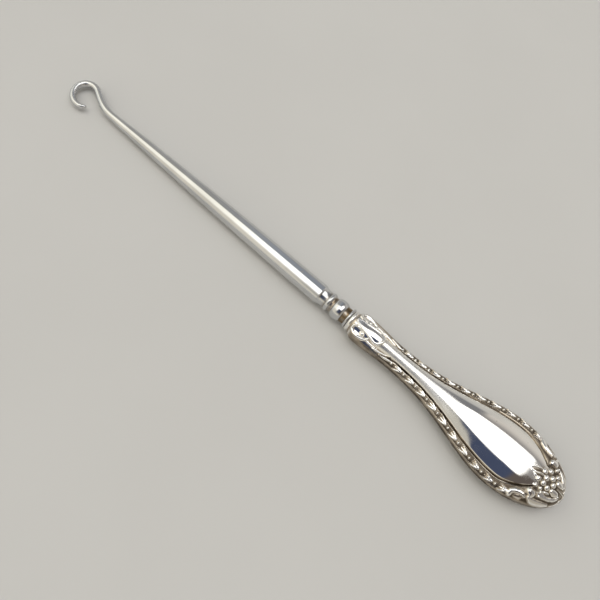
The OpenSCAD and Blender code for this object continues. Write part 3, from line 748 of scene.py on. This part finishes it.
# Soft studio surroundings: a long bright panel overhead between plain walls of different tones.
# They are painted by direction: dx from -1 at the hook's end to 1 at the handle's end, and lean from
# -1 at the near walls, toward -y, to 1 at the far ones.
CREAM, DIM_CREAM = (0.92, 0.86, 0.73, 1), (0.55, 0.525, 0.465, 1)
DEEP_BLUE, BROWN, TAN = (0.06, 0.075, 0.13, 1), (0.12, 0.1, 0.09, 1), (0.42, 0.385, 0.33, 1)
GREY, BLUE_GREY, DARK_GREY = (0.44, 0.43, 0.405, 1), (0.36, 0.385, 0.425, 1), (0.21, 0.21, 0.22, 1)
TAUPE, STONE = (0.28, 0.265, 0.26, 1), (0.64, 0.6, 0.555, 1)
HOOK_END_WALL, LOW_HOOK_END = (1.0, 1.02, 0.95, 1), (0.95, 0.96, 0.9, 1)
LOW_TAN, LOW_GREY, LOW_STONE = (0.5, 0.46, 0.4, 1), (0.42, 0.42, 0.41, 1), (0.66, 0.63, 0.585, 1)
FLOOR_TONE = (0.6, 0.585, 0.545, 1)
WARM_GLOW, WHITE_GLOW = (1.5, 1.44, 1.25, 1), (2.3, 2.28, 2.22, 1)
world = bpy.data.worlds.new("studio")
bpy.context.scene.world = world
world.use_nodes = True
w = Nodes(world.node_tree)
direction = w.add("ShaderNodeSeparateXYZ", {0: w.add("ShaderNodeTexCoord").outputs["Generated"]}).outputs
dx, dy, dz = direction[0], direction[1], direction[2]
reach = w.math("SQRT", w.math("ADD", w.math("MULTIPLY", dy, dy), w.math("MULTIPLY", dz, dz)))
lean = w.math("DIVIDE", dy, w.math("ADD", reach, 0.0001))
far_wall = w.blend(w.fade(dx, -0.45, -0.25), GREY, BLUE_GREY)
far_wall = w.blend(w.fade(dx, -0.2, -0.08), far_wall, DARK_GREY)
far_head = w.blend(w.fade(lean, 0.72, 0.92), TAUPE, STONE)
far_wall = w.blend(w.fade(dx, 0.035, 0.065), far_wall, far_head)
slant = w.math("SUBTRACT", dx, w.math("MULTIPLY", lean, 0.06))
shade = w.math("MULTIPLY", w.fade(slant, -0.045, -0.012), w.fade(lean, -0.9, -0.78))
near_wall = w.blend(shade, w.blend(w.fade(dx, -0.26, -0.16), CREAM, DIM_CREAM), DEEP_BLUE)
near_wall = w.blend(w.fade(dx, 0.29, 0.35), near_wall, BROWN)
near_wall = w.blend(w.fade(dx, 0.5, 0.6), near_wall, TAN)
walls = w.blend(w.fade(lean, -0.05, 0.05), near_wall, far_wall)
walls = w.blend(w.fade(dx, -0.82, -0.7, 1.0, 0.0), walls, HOOK_END_WALL)
# Low down the walls run into one another and into the floor without edges
low_near = w.blend(w.fade(dx, 0.1, 0.7), CREAM, LOW_TAN)
low_far = w.blend(w.fade(dx, -0.15, 0.2), LOW_GREY, LOW_STONE)
low_wall = w.blend(w.fade(dy, -0.6, 0.4), low_near, low_far)
low_wall = w.blend(w.fade(dx, -1.0, -0.6, 1.0, 0.0), low_wall, LOW_HOOK_END)
low_wall = w.blend(w.fade(dz, 0.0, 0.22), FLOOR_TONE, low_wall)
walls = w.blend(w.fade(dz, 0.28, 0.45), low_wall, walls)
# The panel's near edge is softer and farther out over the shank, its far edge farther out over the handle
near_edge = w.fade(dx, -0.16, -0.1, -0.6, -0.22)
far_edge = w.fade(w.fade(dx, -0.08, 0.06), 0.0, 1.0, 0.26, 0.7)
inside = w.edge(w.math("SUBTRACT", lean, near_edge), w.fade(dx, -0.16, -0.1, 3.4, 14.0))
outside = w.edge(w.math("SUBTRACT", far_edge, lean), 16.0)
lit = w.math("MULTIPLY", inside, outside)
lit = w.math("MULTIPLY", lit, w.fade(dx, 0.335, 0.385, 1.0, 0.0))
lit = w.math("MULTIPLY", lit, w.fade(dx, -0.9, -0.75))
glow = w.blend(w.fade(dx, -0.42, -0.2), WARM_GLOW, WHITE_GLOW)
w.put(world.node_tree.nodes["Background"].inputs["Color"], w.blend(lit, walls, glow))

# Camera at the photograph's viewing angle: its place, lens and sensor in millimetres
CAMERA_AT = Vector((35.558, -72.937, 169.341))
CAMERA_RIGHT, CAMERA_BACK = Vector((0.74408, 0.65404, 0.13634)), Vector((0.15746, -0.37, 0.91559))
LENS, SENSOR = 35.7166, 36.0
camera = bpy.data.objects.new("camera", bpy.data.cameras.new("camera"))
bpy.context.scene.collection.objects.link(camera)
camera.data.sensor_fit = "HORIZONTAL"
camera.data.sensor_width = SENSOR
camera.data.lens = LENS
camera.data.clip_start = 0.005
camera.data.clip_end = 20.0
backward = CAMERA_BACK.normalized()
upward = backward.cross(CAMERA_RIGHT.normalized()).normalized()
right = upward.cross(backward)
facing = Matrix((right, upward, backward)).transposed().to_4x4()
camera.matrix_world = Matrix.Translation(CAMERA_AT * MM) @ facing
bpy.context.scene.camera = camera
bpy.context.scene.view_settings.view_transform = "Standard"
